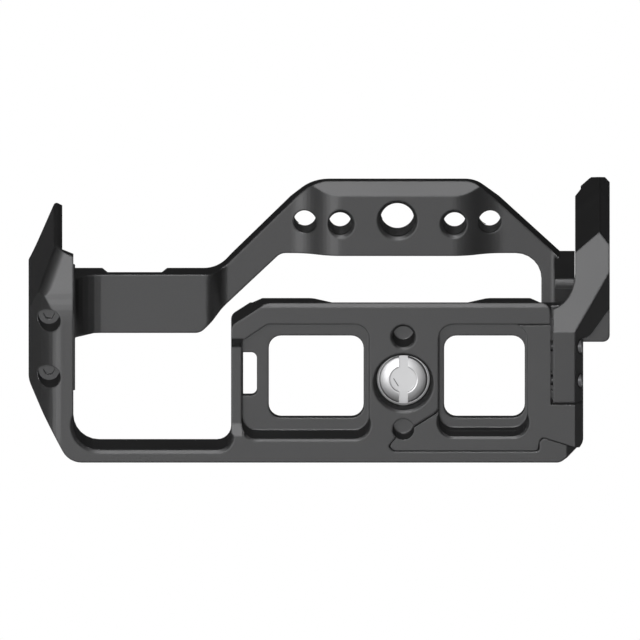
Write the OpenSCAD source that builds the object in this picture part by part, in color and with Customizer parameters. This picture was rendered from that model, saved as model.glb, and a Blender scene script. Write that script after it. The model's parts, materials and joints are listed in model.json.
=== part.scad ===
// Camera cage for a small interchangeable-lens camera
// Millimetres. +Z is up, -Y is the lens side, -X is the grip side.
// The origin is on the camera screw's axis, in the plane of the underside.

/* [Base plate] */
// Width of the dovetail foot, lens side to screen side
foot_w = 38; // [37:0.1:40]
// Height of the base, from the underside to the face under the camera
base_t = 12.9; // [12.6:0.1:15]
// Camera screw axis to the grip end of the plate
left_end = 40.3; // [39.8:0.1:44]
// Camera screw axis to the other end of the underside
right_end = 40.2; // [39.8:0.1:41]
// How far that end leans outwards
end_lean = 1.9; // [1:0.1:2.5]
// Height over which it leans outwards
lean_h = 2.8; // [2:0.1:3.5]
// Chamfer along the lens edge of the underside
edge_c = 0.85; // [0.4:0.05:1.2]
// Upright rim of the dovetail, above the underside
rim_h = 1.6; // [1:0.1:2]
// Depth of the 45 degree undercut that a clamp grips
bite = 1.7; // [1.2:0.1:1.8]
// Top of the clamp groove, above the underside
groove_top = 8; // [7:0.1:9]
// Set-back of the lens face above the groove
front_set = 2.4; // [1.8:0.1:2.8]

/* [Windows and pockets] */
// Thickness left above a pocket
floor_t = 2.5; // [2:0.1:3.5]
// Strip between the lens edge of the base and both pockets
front_strip = 4.95; // [4.4:0.05:5.2]
// Strip between the screen edge of the base and the grip-side pocket
rear_strip = 5.6; // [5:0.1:6.2]
// Screw axis to the near edge of the grip-side pocket
lpocket_in = 8; // [7.6:0.1:9]
// Web between the grip-side pocket and the grip opening
web_w = 2.5; // [2.3:0.1:3.3]
// Screw axis to the near edge of the other pocket
rpocket_in = 8.25; // [7.8:0.05:9]
// Solid end between the other pocket and the end of the underside
end_block = 11.15; // [10.9:0.05:11.6]
// Strip between the screen edge of the base and the other pocket
end_strip = 6.2; // [6:0.1:6.8]
// Ledge round a window, along its sides
ledge = 1.3; // [0.8:0.1:2]
// Ledge between a window and the lens edge of its pocket
front_ledge = 4.85; // [4:0.05:5.5]
// Ledge between a window and the screen edge of the grip-side pocket
rear_ledge = 2.9; // [2.4:0.1:3.8]
// Width of the strap slot beside the grip-side window
strap_w = 3.2; // [2.4:0.1:3.6]
// Length of the strap slot
strap_l = 10.4; // [8:0.2:14]
// Web between the strap slot and the window beside it
strap_web = 2.8; // [2.2:0.1:3.4]

/* [Grip loop] */
// Screw axis to the outermost face on the grip side
grip_reach = 87.7; // [86:0.1:92]
// Width of the grip rail
rail_w = 10.5; // [9.6:0.1:12.5]
// Thickness of the rail along the screen side
rear_rail = 2.9; // [2.4:0.1:4]
// Radius of the rounded outer edge of the grip rail
rail_round = 5; // [4:0.1:6]
// How far the rail's outer side leans in towards the underside
rail_lean = 4.2; // [3.6:0.1:4.6]
// Height over which it leans in
rail_lean_h = 10; // [9:0.1:11]
// Screw axis to the wing's tip, towards the lens
tip_reach = 30.2; // [28:0.1:32]
// Screw axis to where the wing starts to narrow
wing_start = 15.8; // [15:0.1:17]
// Thickness of the wing at its tip
tip_t = 1.5; // [1:0.1:2]

/* [Insert plate] */
// Thickness of the insert plate
insert_t = 6.4; // [6:0.1:7]
// Open seam round the insert plate and the arm's foot
seam = 0.25; // [0.1:0.05:0.35]
// Strip of the base behind the insert plate
insert_strip = 2.6; // [2.4:0.1:3]

/* [Side arm] */
// Thickness of the foot let into the underside
arm_foot_t = 5.4; // [5:0.1:6]
// Width of the foot
arm_foot_w = 5.2; // [4.6:0.1:6]
// Screw axis to the foot's screen end
arm_foot_rear = 4.7; // [3:0.1:6]
// Thickness of the arm's wall
wall_t = 8.1; // [6:0.1:12]
// Screw axis to the screen edge of the wall
wall_rear = 7.1; // [6:0.1:7.4]
// Screw axis to the ridge of the pointed lens edge
ridge_reach = 32; // [30:0.1:34]
// How far the inner corner stands behind the ridge
ridge_in = 4.1; // [2:0.1:5]
// How far the outer corner stands behind the ridge
ridge_out = 2.6; // [1:0.1:4]
// Inset of the ridge from the outer face
ridge_set = 2.4; // [1.6:0.1:4]
// Height of the arm above the underside
arm_h = 88; // [75:0.5:92]
// Screw axis to the start of the 45 degree lens face
slope_start = 12.2; // [11:0.1:13]

/* [Upper frame] */
// Height of the upper frame above the underside
frame_h = 85; // [80:0.5:95]
// Drop from there to the top of the grip-side bar
bar_drop = 5; // [3:0.1:7]
// Thickness of the grip-side bar
bar_t = 7.9; // [7:0.1:9]
// Thickness of the bar between grip bar, hump and leg
link_t = 7.7; // [6:0.1:9]
// Thickness of the hump's middle
hump_t = 11; // [9:0.1:13]
// Screw axis to the hump's lens face
hump_front = 32; // [31:0.1:34]
// Width of the hump, lens side to screen side
hump_w = 17.3; // [16:0.1:19]
// Screw axis to the grip bar's lens face
bar_front = 10.6; // [9.6:0.1:11]
// Screw axis to the grip bar's screen face
bar_rear = 3.3; // [2:0.1:5]
// Camera centre line, measured from the screw axis
lens_x = -1.4; // [-2:0.1:0]
// Height of the wing above the underside
wing_h = 62.4; // [50:0.1:66]
// Thickness of the wing
wing_t = 7.9; // [6.6:0.1:8.6]
// Thickness of the upright behind the wing
upright_t = 10.9; // [9.8:0.1:12]
// Upright to the dial cut-out in the grip-side bar
dial_set = 7.1; // [5:0.1:8]
// Width of the dial cut-out at the bar's top
dial_w = 13.7; // [10:0.1:15]
// Depth of the dial cut-out
dial_h = 4.8; // [3:0.1:5.5]
// Width of the leg and tab at the other end
leg_w = 4.7; // [4:0.1:6]
// Length of the tab that hangs from the bar
tab_l = 31.7; // [20:0.1:40]
// Thickness of that tab
tab_t = 2.6; // [2:0.1:4]

/* [Threaded holes] */
// Wall diameter of the 3/8 inch threaded hole
big_thread_d = 8; // [7.8:0.05:9.6]
// Wall diameter of the 1/4 inch threaded holes
small_thread_d = 5.4; // [5.1:0.05:6.4]
// Centre line to the near 1/4 inch holes
near_hole = 13.4; // [12:0.1:15]
// Centre line to the far 1/4 inch holes
far_hole = 21.6; // [21:0.1:23]
// Lens face of the hump to the row of 1/4 inch holes
row_set = 9.7; // [8.5:0.1:11]
// The 3/8 inch hole stands this far in front of the row
row_step = 0.9; // [0:0.1:1.5]
// Diameter of the two locating holes in the underside
locate_d = 5; // [4:0.1:5.2]
// Screw axis to each locating hole
locate_y = 11.05; // [10.6:0.05:11.4]

/* [Camera screw] */
// Diameter of the camera screw's thread
thread_d = 6.35; // [6:0.05:6.4]
// Diameter of the camera screw's head
head_d = 12.8; // [11:0.1:13]
// Radial gap between head and recess
head_gap = 0.15; // [0.1:0.05:0.4]
// Height of the head's shoulder above the underside
shoulder_z = 7.2; // [6.8:0.1:7.4]
// Height of the head itself
head_t = 3.7; // [3:0.1:4.2]
// Face under the camera to the clip that keeps the screw in the base
clip_drop = 0.5; // [0.3:0.05:1]
// Thread that stands above the pads
thread_out = 4.6; // [3:0.1:5.5]
// Width of the screwdriver slot
slot_w = 2.1; // [1.2:0.1:2.6]

/* [Fasteners and pads] */
// Shank diameter of the upright and leg screws
m3_d = 3; // [2.5:0.1:3.2]
// Head diameter of the upright and leg screws
m3_head_d = 5; // [4.8:0.1:5.3]
// Head height of the upright and leg screws
m3_head_t = 2.4; // [1.8:0.1:2.6]
// Shank diameter of the arm and insert screws
m25_d = 2.5; // [2:0.1:2.6]
// Head diameter of the arm screws
m25_head_d = 3.8; // [3.4:0.1:4]
// Thickness of the rubber pads
pad_t = 0.5; // [0.3:0.1:1]
// Radial gap round a screw head in its counterbore
bore_gap = 0.15; // [0.1:0.05:0.3]

/* [Hidden] */

// Steps along a rounded corner, and facets round a bore
corner_steps = 6;
round_fn = 48;
// Overrun of every cut past the face that it opens
over = 1;

// Values of the base
half = foot_w / 2;
right_top = right_end + end_lean;
pocket_top = base_t - floor_t;
pocket_front = half - front_strip;
pocket_rear = half - rear_strip;
rpocket_rear = half - end_strip;
lpocket_out = left_end - web_w;
rpocket_out = right_end - end_block;
window_front = pocket_front - front_ledge;
window_rear = pocket_rear - rear_ledge;
pocket_r = 3.5;
pocket_cut_x = 6;
pocket_cut_y = 4.1;
window_r = 2.9;
front_cut_x = 8.1;
front_cut_y = 5.3;
rear_cut_x = 5.4;
rear_cut_y = 4;
front_cut_r = 4;
scoop_h = 2.4;
scoop_front = 10.6;
scoop_rear = 12.6;
scoop_past = 0.25;
web_c = 0.5;
mouth_c = 0.75;
locate_skin = 1.2;
locate_deep = 1.1;

// Values of the lips that keep the camera from sliding towards the lens
lip_h = 4.9;
lip_t = 2.5;
lip_out = left_end - front_cut_x;
lip_foot = 15.9;
lip_flat = 20.4;
lip_x = -0.8;
lip_slope = 2.3;
lip_short = 1.7;

// Values of the grip loop
rail_in = grip_reach - rail_w;
wing_in = grip_reach - wing_t;
rail_y = half - rear_rail;
loop_r_out = 6;
loop_r_in = 3.3;
tip_set = 6.2;
tip_back = 0.9;
toe_set = 10.8;
toe_back = 2.1;
side_end = 1.2;
side_r = 5;
diag_end = 9.4;
rail_c = 0.7;
toe_start = 18.95;
toe_round = 10;
toe_blend_r = 4;

// Upright screws
upright_set = 4.8;
upright_x = grip_reach - upright_set;
upright_y1 = 14.8;
upright_y2 = 1.4;
upright_seat = 11.2;
upright_grip = 10;

// Leg, and the screws that come up into it
leg_front = 2;
leg_rear = 10;
leg_foot_h = 5;
leg_foot_w = 7.8;
leg_inset = 0.1;
leg_out = right_end - leg_inset;
leg_x = leg_out - leg_foot_w / 2;
leg_seat = insert_t + m3_head_t + bore_gap;
leg_grip = 4;
leg_screw_in = 2.8;

// Insert plate and the corners of its seam
insert_rear = half - insert_strip;
insert_tip = 1.3;
insert_head_d = 4.2;
insert_screw_x = 4.5;
insert_screw_out = 0.8;
insert_screw_in = 1.8;
insert_screws_at = [[rpocket_out + insert_screw_out, insert_rear - insert_screw_in],
                    [insert_screw_x, insert_rear - insert_screw_in]];
seam_share = 0.7;
end_cut = 1.4;
ear_x = 3.7;
ear_y = 3.3;
ear_in = 2.8;
ear_cut = 2.3;
ear_r = 1;
ear_cut_r = 0.6;
tongue_x = 2.2;
nose_x = 3.6;
nose_y = 1.2;
nose_r = 0.8;
tongue_in = 2;
tongue_y = 3.2;
neck_x = 2.8;
neck_y = 1;
bend_x = 0.9;
bend_y = 3.9;
inner_y = 5;

// Arm screws
arm_screw_up = 0.2;
arm_screw_z = arm_foot_t / 2 + arm_screw_up;
arm_y1 = 8.3;
arm_y2 = 0.2;
arm_head_t = 1.6;
arm_screw_l = 9.6;
arm_in = right_end - arm_foot_w;
arm_reach = right_end + wall_t;
strip_gap = 0.5;
strip_x = arm_in - strip_gap;
strip_r = 2.2;
arm_bend_r = 7.2;
arm_bend_z = 4.35;
wall_r = 1.6;
under_gap = 0.25;
wall_under = base_t + under_gap;
gusset_h = 11.9;
gusset_front = 15.5;
gusset_back = 10.5;
gusset_set = 4.4;
gusset_end = 9.9;
arm_top_in = 3.2;
arm_nick = 1.3;
arm_nick_top = 1.6;
arm_nick_low = 5;
arm_nick_foot = 8.6;
peak_back = 1.4;
peak_h = 6.4;

// Upper frame
bar_top = frame_h - bar_drop;
bar_under = bar_top - bar_t;
link_under = frame_h - link_t;
hump_under = frame_h - hump_t;
hump_rear = hump_front - hump_w;
row_reach = hump_front - row_set;
step_out = 46;
step_in = 40.5;
under_out = 45;
under_in = 42.3;
step_cut = 2.2;
hump_half_in = 15.8;
hump_half_out = 22;
end_set = 4.9;
end_drop = 3.7;
nose_drop = 5.2;
nose_c = 3;
hump_left = 21.1;
hump_right = 16.8;
hump_back = 28.7;
hump_r = 9;
hump_turn_r = 6;
link_set = 3.5;
link_back = 13.6;
upright_in = grip_reach - upright_t;
upright_rear = 4.4;
upright_cut = 1.7;
upright_blend = 4.6;
dial_out = upright_in - dial_set;
dial_in = dial_out - dial_w;
dial_slope = 0.5;
fillet_r = 6;
// A rounded corner takes just under half of each edge beside it
fillet_room_share = 2.1;
fillet_l = fillet_room_share * fillet_r;
tab_r = 1.2;

// Camera screw and its clip
screw_gap = 0.28;
recess_c = 0.6;
neck_web = 1.2;
clip_d = 9.4;
clip_t = 0.8;
clip_play = 0.05;
clip_mouth = 4.2;
groove_d = 4.9;
clip_z = base_t - clip_drop - clip_t;
clip_room_d = 10.6;
recess_z = shoulder_z + clip_play;
dome_d = 11.3;
dome_h = 0.9;
eye_d = 6.3;
slot_h = 1.3;
screw_tip = base_t + pad_t + thread_out;
tip_c = 0.6;

// Sockets of the screws, as shares of the head or the shank, and the empty thread past a tip
m3_socket_d_share = 0.56;
m3_socket_h_share = 0.6;
m25_socket_d_share = 0.7;
arm_socket_d_share = 0.5;
arm_socket_h_share = 0.5;
tip_gap = 0.5;

// Pads
pad_w = 3.2;
pad_gap = 0.4;
pad_rear_w = 5;
pad_r = 1;

function dist(a, b) = norm([b[0] - a[0], b[1] - a[1]]);
function unit(a, b) = [(b[0] - a[0]) / dist(a, b), (b[1] - a[1]) / dist(a, b)];

// Points of the arc that rounds corner b, between its neighbours a and c
function corner(a, b, c) =
    let (
        u = unit(b, a),
        v = unit(b, c),
        turn = acos(u[0] * v[0] + u[1] * v[1]),
        room = 0.49 * min(dist(a, b), dist(b, c)),
        cut = min(b[2] / tan(turn / 2), room),
        r = cut * tan(turn / 2),
        way = [u[0] + v[0], u[1] + v[1]],
        mid = [b[0] + way[0] / norm(way) * r / sin(turn / 2),
               b[1] + way[1] / norm(way) * r / sin(turn / 2)],
        from = atan2(b[1] + u[1] * cut - mid[1], b[0] + u[0] * cut - mid[0]),
        to = atan2(b[1] + v[1] * cut - mid[1], b[0] + v[0] * cut - mid[0]),
        sweep = to - from > 180 ? to - from - 360 : to - from < -180 ? to - from + 360 : to - from
    )
    [for (i = [0 : corner_steps])
        [mid[0] + r * cos(from + sweep * i / corner_steps),
         mid[1] + r * sin(from + sweep * i / corner_steps)]];

// Outline whose points are [x, y] or [x, y, corner radius]
function rounded(p) =
    [for (i = [0 : len(p) - 1])
        each (len(p[i]) < 3 ? [p[i]]
              : corner(p[(i + len(p) - 1) % len(p)], p[i], p[(i + 1) % len(p)]))];

// Prism that stands on a plan outline
module slab(points, z0, z1) {
    translate([0, 0, z0]) linear_extrude(z1 - z0) polygon(rounded(points));
}

// Prism that runs along Y from a front-view outline of [x, z] points
module along_y(points, y0, y1) {
    translate([0, y1, 0]) rotate([90, 0, 0]) linear_extrude(y1 - y0) polygon(rounded(points));
}

// Prism that runs along X from a side-view outline of [y, z] points
module along_x(points, x0, x1) {
    translate([x0, 0, 0]) rotate([90, 0, 90]) linear_extrude(x1 - x0) polygon(rounded(points));
}

module rod(d, z0, z1) {
    translate([0, 0, z0]) cylinder(d = d, h = z1 - z0, $fn = round_fn);
}

module cone(d0, d1, z0, z1) {
    translate([0, 0, z0]) cylinder(d1 = d0, d2 = d1, h = z1 - z0, $fn = round_fn);
}

// Rectangle with corners of one radius
function box_outline(x0, x1, y0, y1, r) = [[x0, y0, r], [x1, y0, r], [x1, y1, r], [x0, y1, r]];

// Side view of the plate: chamfered foot, clamp groove and body
function plate_profile() = [
    [-half + edge_c, 0], [-half, edge_c], [-half, rim_h], [-half + bite, rim_h + bite],
    [-half + bite, groove_top - bite], [-half + front_set, groove_top - bite + front_set],
    [-half + front_set, base_t], [half, base_t], [half, groove_top],
    [half - bite, groove_top - bite], [half - bite, rim_h + bite], [half, rim_h], [half, 0]];

// Plan of the plate, with its cut corners
function plate_plan() = [
    [-left_end, -half + front_cut_y, front_cut_r / 2],
    [-left_end + front_cut_x, -half, front_cut_r],
    [right_top, -half], [right_top, half - rear_cut_y, side_r / 2],
    [right_top - rear_cut_x, half, side_r / 2], [-left_end, half]];

module plate() {
    intersection() {
        along_x(plate_profile(), -left_end, right_top);
        slab(plate_plan(), 0, base_t);
        along_y([[-left_end, 0], [right_end - end_lean, 0], [right_top, 2 * lean_h],
                 [right_top, base_t], [-left_end, base_t]], -half, half);
    }
}

// Lip on one side of the lens, whose top ends at reach
module lip(side, reach) {
    translate([lip_x, 0, 0]) mirror([side, 0, 0])
        along_y([[lip_foot, base_t - web_c], [lip_foot, base_t, lip_h / 2],
                 [lip_flat, base_t + lip_h, lip_h / 2], [reach, base_t + lip_h, web_c],
                 [reach + lip_slope, base_t], [reach + lip_slope, base_t - web_c]],
                -half + front_set, -half + front_set + lip_t);
}

// Cut that rounds the edge between the toe's slope and the wing's outer side
module toe_blend() {
    run = [tip_set, wing_start - tip_reach, tip_reach - wing_start];
    along = run / norm(run);
    toe_in = [0, 1, 1] / norm([0, 1, 1]);
    across = cross(along, toe_in);
    side_in = [tip_reach - wing_start, tip_set, 0] / norm([tip_reach - wing_start, tip_set]);
    turn = atan2(side_in * across, side_in * toe_in);
    tip = [-grip_reach + tip_set, -tip_reach, tip_reach - toe_start];
    mid = toe_blend_r * [1, tan(turn / 2)];
    edge = mid - toe_blend_r * [cos(turn), sin(turn)];
    multmatrix([[toe_in[0], across[0], along[0], tip[0]],
                [toe_in[1], across[1], along[1], tip[1]],
                [toe_in[2], across[2], along[2], tip[2]]])
        difference() {
            translate([0, 0, -norm(run)])
                linear_extrude(2 * norm(run))
                    polygon([-over * [1, tan(turn / 2)], [-over, mid[1]], [0, mid[1]], mid, edge,
                             edge - over * [cos(turn), sin(turn)]]);
            translate([mid[0], mid[1], 0]) rod(2 * toe_blend_r, -norm(run) - over, norm(run) + over);
        }
}

// Loop round the opening below the camera's grip
module grip_loop() {
    difference() {
        grip_body();
        toe_blend();
    }
}

module grip_body() {
    intersection() {
        slab([[-grip_reach + tip_set, -tip_reach, tip_t / 2], [-grip_reach, -wing_start, tip_t],
              [-grip_reach, side_end, side_r], [-grip_reach + diag_end, half, side_r],
              [-left_end, half], [-left_end, 0],
              [-grip_reach + toe_set, -tip_reach + toe_back, tip_t / 2],
              [-wing_in, -tip_reach + tip_back]], 0, base_t);
        along_y([[-grip_reach, rail_lean_h], [-grip_reach, base_t], [-left_end, base_t],
                 [-left_end, 0], [-grip_reach + rail_lean, 0, rail_round]], -tip_reach, half);
        along_x([[-toe_start, 0, toe_round], [-toe_start - base_t, base_t],
                 [-tip_reach - over, base_t + over],
                 [half, base_t + over], [half, 0]], -grip_reach, -left_end);
    }
}

// Bevel c wide round a corner of radius r in the underside
module edge_turn(x, y, r, c) {
    translate([x, y, 0]) cone(2 * (r + c), 2 * r, 0, c);
}

module grip_opening() {
    slab([[-rail_in, -tip_reach - over], [-rail_in, rail_y, loop_r_out],
          [-left_end, rail_y, loop_r_in], [-left_end, -tip_reach - over]], -over, base_t + over);
    along_x([[rail_y - over, -over], [rail_y - over, rail_c], [rail_y, rail_c],
             [rail_y + rail_c + over, -over]],
            -rail_in + loop_r_out, -left_end - loop_r_in);
    edge_turn(-rail_in + loop_r_out, rail_y - loop_r_out, loop_r_out, rail_c);
    edge_turn(-left_end - loop_r_in, rail_y - loop_r_in, loop_r_in, rail_c);
}

// Counterbored hole that opens at z_mouth and narrows to the shank at z_seat
module counterbore(z_mouth, z_seat, z_end) {
    rod(m3_head_d + 2 * bore_gap, z_mouth, z_seat);
    rod(m3_d + bore_gap, z_seat - over, z_end);
}

// Plan of a pocket, with its grip-side lens corner cut or rounded
function pocket_plan(x0, x1, y1, cut) = concat(
    cut ? [[x0, -pocket_front + pocket_cut_y], [x0 + pocket_cut_x, -pocket_front]]
        : [[x0, -pocket_front, pocket_r]],
    [[x1, -pocket_front, pocket_r], [x1, y1, pocket_r], [x0, y1, pocket_r]]);

// Pocket in the underside and its chamfered screen edge
module pocket(x0, x1, y1, z0, cut) {
    slab(pocket_plan(x0, x1, y1, cut), z0, pocket_top);
    along_x([[y1 - over, -over], [y1 - over, web_c], [y1, web_c], [y1 + web_c + over, -over]],
            x0 + pocket_r, x1 - pocket_r);
    edge_turn(x0 + pocket_r, y1 - pocket_r, pocket_r, web_c);
    edge_turn(x1 - pocket_r, y1 - pocket_r, pocket_r, web_c);
}

module window(x0, x1) {
    slab(box_outline(x0, x1, -window_front, window_rear, window_r), pocket_top - over, base_t + over);
}

// Plan of the insert plate, drawn in by g all round
function insert_plan(g) = [
    [rpocket_in + pocket_r, -pocket_front + g], [arm_in - seam - g, -pocket_front + g],
    [arm_in - seam - g, arm_foot_rear + seam + g], [right_top, arm_foot_rear + seam + g],
    [right_top, insert_rear - seam_share * seam - g], [right_end - end_lean, insert_rear - end_cut - g],
    [rpocket_out + ear_x - g, insert_rear - ear_y - g, ear_r + g],
    [rpocket_out + ear_in - g, insert_rear - ear_cut, ear_cut_r],
    [rpocket_out + ear_in - g, insert_rear - g, ear_r], [-tongue_x + g, insert_rear - g, ear_r],
    [-nose_x + g, insert_rear - nose_y, nose_r], [-tongue_in + g, insert_rear - tongue_y],
    [neck_x + g, locate_y - neck_y + g], [rpocket_in - bend_x + g, locate_y - bend_y + g],
    [rpocket_in + g, locate_y - inner_y + g], [rpocket_in + pocket_r, locate_y - inner_y + g]];

// Inner side of the arm's bend, from the foot up to the wall, drawn in by g
function bend(g) =
    let (
        r = arm_bend_r - g,
        mid = [right_end - arm_bend_r, arm_bend_z + arm_bend_r],
        low = acos((arm_in - g - mid[0]) / r)
    )
    [for (i = [0 : corner_steps])
        mid + r * [cos(low * (corner_steps - i) / corner_steps),
                   -sin(low * (corner_steps - i) / corner_steps)]];

// Space taken out of the base for the arm's foot and bend
module arm_space() {
    along_y([[arm_in - seam, -over], [arm_in - seam, arm_foot_t + seam],
             [right_top + over, arm_foot_t + seam], [right_top + over, -over]],
            -gusset_end - over - seam, arm_foot_rear + seam);
    along_y([[arm_in - seam, -over], each bend(seam), [right_end - seam, base_t + over],
             [right_top + over, base_t + over], [right_top + over, -over]],
            -half - over, -gusset_end + seam);
}

module base_frame() {
    color("#3c3c3e")
    difference() {
        union() {
            plate();
            grip_loop();
            lip(0, lip_out - lip_short);
            lip(1, lip_out);
        }
        grip_opening();
        pocket(-lpocket_out, -lpocket_in, pocket_rear, -over, true);
        pocket(rpocket_in, rpocket_out, rpocket_rear, -over, false);
        window(-lpocket_out + ledge / 4 + strap_w + strap_web, -lpocket_in - ledge);
        window(rpocket_in + ledge, rpocket_out - ledge / 2);
        slab([[-lpocket_out + ledge / 4, -strap_l / 2],
              [-lpocket_out + ledge / 4 + strap_w, -strap_l / 2, ledge],
              [-lpocket_out + ledge / 4 + strap_w, strap_l / 2, ledge],
              [-lpocket_out + ledge / 4, strap_l / 2]],
             pocket_top - over, base_t + over);
        // Shallow scoop across the web beside the grip opening
        along_x([[-scoop_front, -over], [-scoop_front, 0], [-scoop_front + scoop_h, scoop_h],
                 [scoop_rear - scoop_h, scoop_h], [scoop_rear, 0], [scoop_rear, -over]],
                -left_end - over, -lpocket_out + scoop_past);
        // End of the lens-side strip, beside the arm's foot
        difference() {
            slab([[strip_x - strip_r, -half - over], [right_top + over, -half - over],
                  [right_top + over, -pocket_front], [strip_x - strip_r, -pocket_front]],
                 -over, insert_t);
            slab([[strip_x - 2 * strip_r, -half], [strip_x, -half, strip_r], [strip_x, 0],
                  [strip_x - 2 * strip_r, 0]], -over, insert_t);
        }
        slab(insert_plan(0), -over, insert_t);
        arm_space();
        // Camera screw: chamfered recess, neck and room for the clip
        cone(head_d + 2 * head_gap + 2 * recess_c, head_d + 2 * head_gap, 0, recess_c);
        rod(head_d + 2 * head_gap + 2 * recess_c, -over, 0);
        rod(head_d + 2 * head_gap, -over, recess_z);
        rod(thread_d + 2 * screw_gap, -over, base_t + over);
        rod(clip_room_d, recess_z + neck_web, base_t + over);
        // Locating holes
        translate([0, -locate_y, 0]) rod(locate_d, -over, pocket_top - locate_skin);
        translate([0, -locate_y, 0]) cone(locate_d + 2 * web_c, locate_d, 0, web_c);
        translate([0, locate_y, 0]) rod(locate_d, -over, insert_t + locate_deep);
        // Screws of the upright, the leg and the insert plate
        for (y = [-upright_y1, -upright_y2])
            translate([-upright_x, y, 0]) counterbore(-over, upright_seat, base_t + over);
        for (y = [-leg_front + leg_screw_in, leg_rear - leg_screw_in])
            translate([leg_x, y, 0]) counterbore(insert_t - over, leg_seat, base_t + over);
        for (at = insert_screws_at)
            translate([at[0], at[1], 0]) {
                rod(m25_d + bore_gap, -over, base_t + over);
                cone(m25_d + bore_gap, insert_head_d + bore_gap,
                     base_t - (insert_head_d - m25_d) / 2, base_t);
            }
    }
}

module insert_plate() {
    color("#3e3e40")
    difference() {
        intersection() {
            slab(insert_plan(seam), 0, insert_t);
            slab(plate_plan(), 0, insert_t);
            along_y([[-half, 0], [right_end, 0], [right_top, lean_h], [right_top, insert_t],
                     [-half, insert_t]], -half, half);
        }
        pocket(rpocket_in, rpocket_out, rpocket_rear, -over, false);
        translate([0, locate_y, 0]) rod(locate_d, -over, insert_t + over);
        for (at = insert_screws_at)
            translate([at[0], at[1], 0]) rod(m25_d, insert_tip - tip_gap, insert_t + over);
        for (y = [-arm_y1, -arm_y2])
            translate([arm_in + over, y, arm_screw_z]) rotate([0, -90, 0])
                rod(m25_d, 0, arm_screw_l - arm_foot_w + over);
    }
}

// Front view of the arm: foot, bend and wall
function arm_profile() = [
    [arm_in, 0], [right_end, 0], [arm_reach, gusset_h], [arm_reach, arm_h],
    [right_end + arm_top_in, arm_h], [right_end + arm_nick, arm_h - arm_nick_top],
    [right_end + arm_nick, arm_h - arm_nick_low], [right_end, arm_h - arm_nick_foot],
    for (i = [corner_steps : -1 : 0]) bend(0)[i]];

// Front view of the foot let into the underside
function foot_profile() = [
    [arm_in, 0], [right_end, 0], [right_top, lean_h], [right_top, arm_foot_t], [arm_in, arm_foot_t]];

// Plan of the wall, with its pointed lens edge
function wall_plan() = [
    [right_end, -ridge_reach + ridge_in], [arm_reach - ridge_set, -ridge_reach],
    [arm_reach, -ridge_reach + ridge_out], [arm_reach, -wall_rear, wall_r], [right_end, -wall_rear]];

// Plan of the bend below the wall
function gusset_plan() = [
    [arm_in, -half], [right_end, -ridge_reach + ridge_in], [arm_reach - ridge_set, -ridge_reach],
    [arm_reach, -ridge_reach + ridge_out], [arm_reach, -gusset_front, wall_r],
    [arm_reach - gusset_set, -gusset_back, wall_r], [right_top + seam, -gusset_end, seam],
    [arm_in, -gusset_end]];

module side_arm() {
    color("#404042")
    difference() {
        union() {
            along_y(foot_profile(), -gusset_end - over, arm_foot_rear);
            intersection() {
                along_y(arm_profile(), -ridge_reach, -wall_rear);
                union() {
                    slab(wall_plan(), wall_under, arm_h);
                    slab(gusset_plan(), 0, wall_under);
                }
                along_x([[-slope_start, 0], [-ridge_reach - over, ridge_reach + over - slope_start],
                         [-ridge_reach - over, arm_h - peak_h * (peak_back + over) / peak_back],
                         [-ridge_reach + peak_back, arm_h], [-wall_rear, arm_h], [-wall_rear, 0]],
                        arm_in, arm_reach);
            }
        }
        for (y = [-arm_y1, -arm_y2])
            translate([right_top + over, y, arm_screw_z]) rotate([0, -90, 0]) {
                rod(m25_head_d + bore_gap, 0, over + arm_head_t);
                rod(m25_d + bore_gap, 0, arm_foot_w + end_lean + 2 * over);
            }
    }
}

// Front view of the whole top bar
function bar_profile() = [
    [-grip_reach, bar_under], [-under_out, bar_under, bar_t / 4], [-under_in, link_under, bar_t / 4],
    [lens_x - hump_half_out, link_under, hump_t], [lens_x - hump_half_in, hump_under, hump_t],
    [lens_x + hump_half_in, hump_under, hump_t], [lens_x + hump_half_out, link_under, hump_t],
    [leg_out - end_set, link_under, bar_t / 4], [leg_out, link_under - end_drop], [leg_out, frame_h],
    [-step_in, frame_h, bar_t / 4], [-step_out, bar_top, bar_t / 4], [-grip_reach, bar_top]];

// Plan of the top bar: grip bar, diagonal, hump, diagonal and end
function bar_plan() = [
    [-grip_reach + tip_set, -bar_front], [-step_in - step_cut, -bar_front, fillet_r],
    [-hump_left, -hump_front, hump_r], [hump_right, -hump_front, hump_turn_r],
    [leg_out - link_set, -link_back], [leg_out, -link_back], [leg_out, leg_rear, tab_r],
    [leg_out - leg_foot_w, leg_rear, tab_r], [leg_out - leg_foot_w, -hump_rear, fillet_r],
    [-hump_back, -hump_rear, fillet_r / 2], [-step_out - tip_t, bar_rear, fillet_r / 2],
    [-upright_in + upright_blend, bar_rear], [-upright_in, upright_rear],
    [-grip_reach + tip_set, upright_rear]];

module dial_cutout() {
    along_y([[-dial_out + dial_slope, bar_top - dial_h], [-dial_in - dial_slope, bar_top - dial_h],
             [-dial_in + over, bar_top + over], [-dial_out - over, bar_top + over]],
            -bar_front - over, bar_rear + over);
}

module top_bar() {
    difference() {
        intersection() {
            along_y(bar_profile(), -hump_front, leg_rear);
            slab(bar_plan(), bar_under, frame_h);
        }
        dial_cutout();
        // Bevels above and below the hump's lens face
        along_x([[-hump_front - over, frame_h - nose_drop - over], [-hump_front - over, frame_h + over],
                 [-hump_front + nose_drop + over, frame_h + over]], -step_in, right_end);
        along_x([[-hump_front - over, hump_under + nose_c + over], [-hump_front - over, hump_under - over],
                 [-hump_front + nose_c + over, hump_under - over]], -step_in, right_end);
    }
}

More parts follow.
